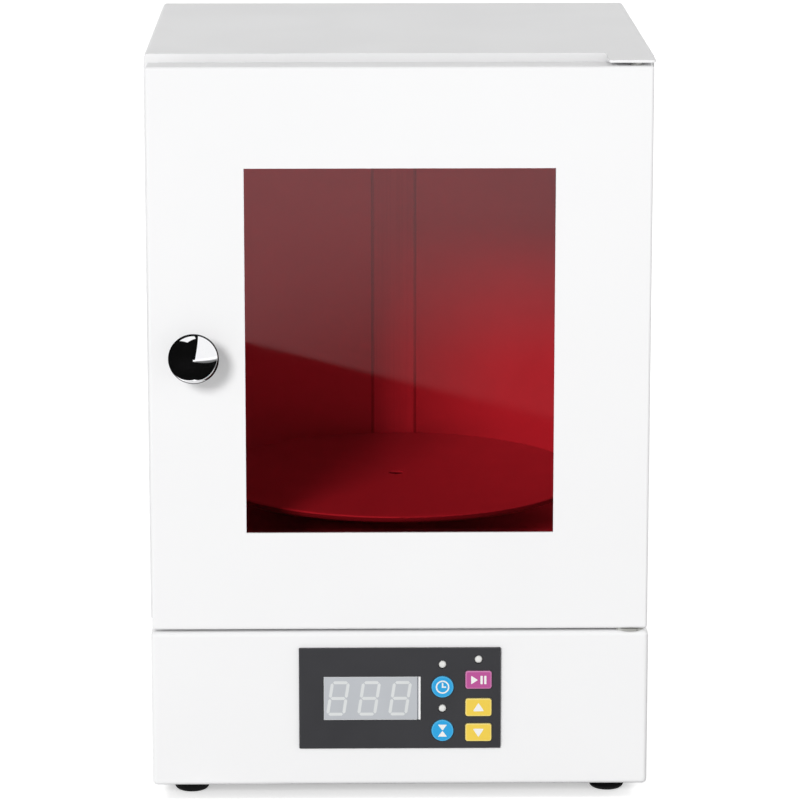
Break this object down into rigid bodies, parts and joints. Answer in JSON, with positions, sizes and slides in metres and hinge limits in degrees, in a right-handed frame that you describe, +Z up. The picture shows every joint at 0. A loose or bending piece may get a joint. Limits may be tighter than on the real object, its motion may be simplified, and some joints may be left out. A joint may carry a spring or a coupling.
{
  "type": "dental light curing unit",
  "caption": "Table-top light curing cabinet: hinged door with red window and knob, turntable between lamp channels, base with display and keys.",
  "frame": {"origin": "middle of the footprint, knob and louvres included, at the level that the feet stand on", "axes": "+X to the door's hinge side, +Y to the back, +Z up; the door faces -Y"},
  "size_m": [0.2424, 0.2644, 0.36],
  "materials": {
    "white_enamel": "semi-gloss white powder coat",
    "bare_steel": "zinc plated",
    "reflector_steel": "bright satin reflector sheet",
    "black_rubber": "moulded",
    "black_foam": "closed-cell foam",
    "black_panel": "fine matte",
    "black_plastic": "moulded",
    "display_grey": "printed face",
    "segment_white": "diffusing",
    "lamp_white": "diffusing",
    "key_blue": "printed key",
    "key_magenta": "printed key",
    "key_yellow": "printed key",
    "board_green": "solder mask",
    "board_white": "white solder mask",
    "chip_yellow": "phosphor-free lens",
    "frosted_plastic": "frosted",
    "heatsink_aluminium": "extruded",
    "capacitor_sleeve": "shrink sleeve",
    "turntable_white": "satin",
    "hub_nylon": "nylon",
    "red_acrylic": "transparent red acrylic",
    "knob_chrome": "polished",
    "brass": "turned"
  },
  "bodies": {
    "cabinet": {"base_housing": "white_enamel", "base_plate": "white_enamel", "feet": "black_rubber", "foot_screws": "bare_steel", "control_panel": "black_panel", "display_module": "display_grey", "display_segments": "segment_white", "indicator_lamps": "lamp_white", "key_switches": "black_plastic", "control_board": "board_green", "panel_standoffs": "brass", "board_screws": "bare_steel", "driver_board": "board_green", "driver_standoffs": "brass", "driver_capacitors": "capacitor_sleeve", "driver_heatsink": "heatsink_aluminium", "power_jack": "black_plastic", "power_jack_nut": "bare_steel", "cabinet_shell": "white_enamel", "cabinet_back": "white_enamel", "cabinet_screws": "bare_steel", "front_frame": "white_enamel", "left_reflector": "reflector_steel", "right_reflector": "reflector_steel", "rear_reflector": "reflector_steel", "ceiling_reflector": "reflector_steel", "chamber_floor": "reflector_steel", "diffusers": "frosted_plastic", "led_boards": "board_white", "led_chips": "chip_yellow", "turntable_motor": "bare_steel", "motor_screws": "bare_steel", "floor_bush": "hub_nylon", "catch_magnet": "black_plastic", "lower_pivot_pin": "bare_steel", "upper_pivot_pin": "bare_steel", "pivot_washer": "bare_steel"},
    "turntable": {"motor_shaft": "bare_steel", "turntable_hub": "hub_nylon", "turntable": "turntable_white", "turntable_screw": "bare_steel"},
    "door": {"door_panel": "white_enamel", "door_liner": "white_enamel", "liner_screws": "bare_steel", "window_pane": "red_acrylic", "window_retainer": "black_plastic", "retainer_nuts": "bare_steel", "strike_plate": "bare_steel", "door_knob": "knob_chrome", "knob_screw": "bare_steel", "hinge_bushes": "bare_steel", "door_seal": "black_foam"},
    "upper_round_key": {"upper_round_key": "key_blue"},
    "lower_round_key": {"lower_round_key": "key_blue"},
    "power_key": {"power_key": "key_magenta"},
    "up_key": {"up_key": "key_yellow"},
    "down_key": {"down_key": "key_yellow"}
  },
  "joints": [
    {"name": "door_hinge", "type": "hinge", "parent": "cabinet", "child": "door", "pos_m": [0.1112, -0.10485, 0.22085], "axis": [0, 0, 1], "range_deg": [0, 180]},
    {"name": "turntable_spin", "type": "hinge", "parent": "cabinet", "child": "turntable", "pos_m": [0, 0.0192, 0.132], "axis": [0, 0, 1], "continuous": true},
    {"name": "upper_round_key_press", "type": "slide", "parent": "cabinet", "child": "upper_round_key", "axis": [0, 1, 0], "range_m": [0, 0.0004], "stiffness_N_per_m": 1500},
    {"name": "lower_round_key_press", "type": "slide", "parent": "cabinet", "child": "lower_round_key", "axis": [0, 1, 0], "range_m": [0, 0.0004], "stiffness_N_per_m": 1500},
    {"name": "power_key_press", "type": "slide", "parent": "cabinet", "child": "power_key", "axis": [0, 1, 0], "range_m": [0, 0.0004], "stiffness_N_per_m": 1500},
    {"name": "up_key_press", "type": "slide", "parent": "cabinet", "child": "up_key", "axis": [0, 1, 0], "range_m": [0, 0.0004], "stiffness_N_per_m": 1500},
    {"name": "down_key_press", "type": "slide", "parent": "cabinet", "child": "down_key", "axis": [0, 1, 0], "range_m": [0, 0.0004], "stiffness_N_per_m": 1500}
  ]
}
